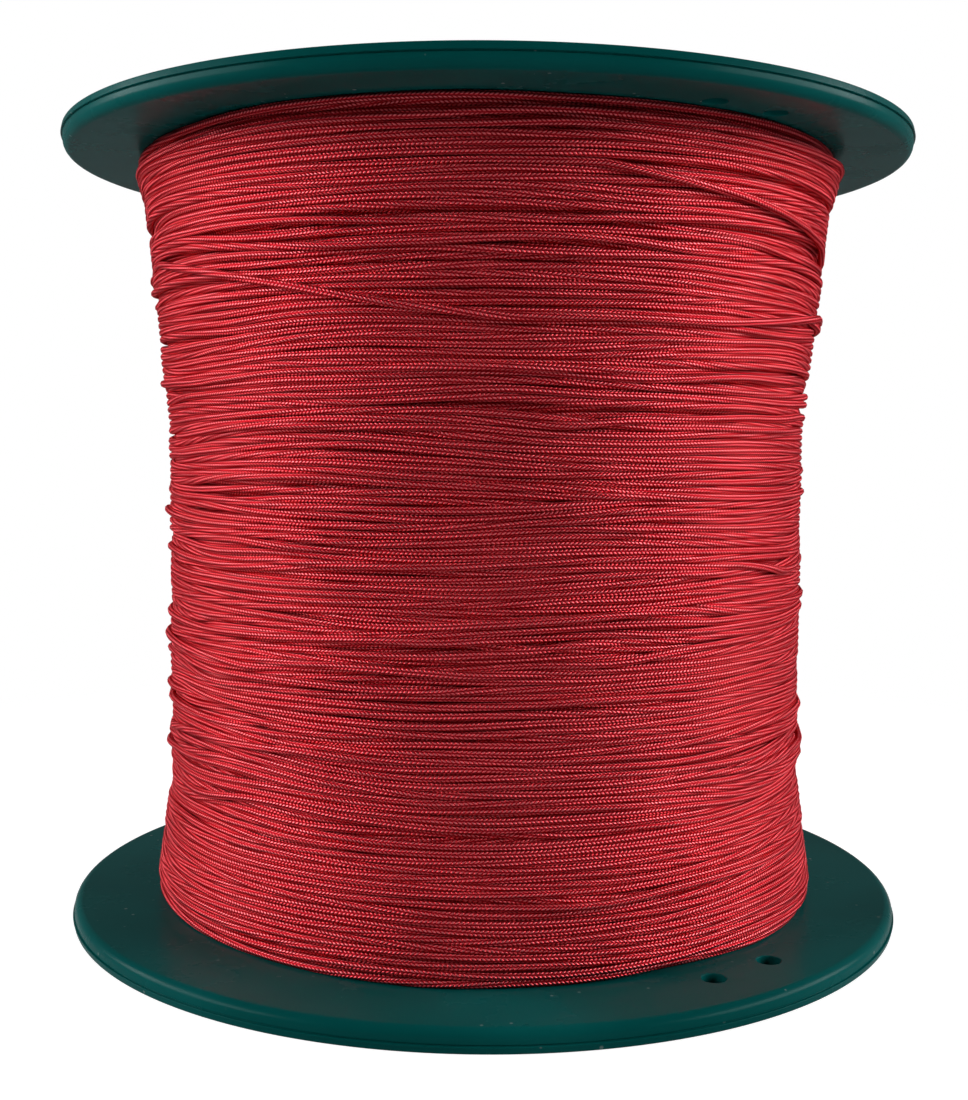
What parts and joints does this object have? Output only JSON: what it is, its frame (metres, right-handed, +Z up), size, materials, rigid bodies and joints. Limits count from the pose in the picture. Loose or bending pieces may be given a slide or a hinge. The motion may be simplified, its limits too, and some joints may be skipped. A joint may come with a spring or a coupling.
{
  "type": "string reel",
  "caption": "Moulded reel of racket string: two wide flanges on a barrel with an arbor bore, wound full of braided string that is tied off at one flange.",
  "frame": {"origin": "on the reel's axis, at the middle of the outer face of the lower flange, which is the face the reel stands on", "axes": "+Z up along the reel's axis, from the lower flange to the upper flange; the front tie holes of both flanges lie towards -Y and +X"},
  "size_m": [0.14, 0.14, 0.128],
  "materials": {
    "flange_plastic": "gloss",
    "barrel_plastic": "satin",
    "string": "satin",
    "label_paper": "matte"
  },
  "bodies": {
    "root": {"lower_flange": "flange_plastic", "upper_flange": "flange_plastic", "barrel": "barrel_plastic", "arbor_tube": "barrel_plastic", "string_start": "string", "string_pack": "string", "outer_turns": "string", "upper_label": "label_paper", "lower_label": "label_paper"}
  },
  "joints": []
}
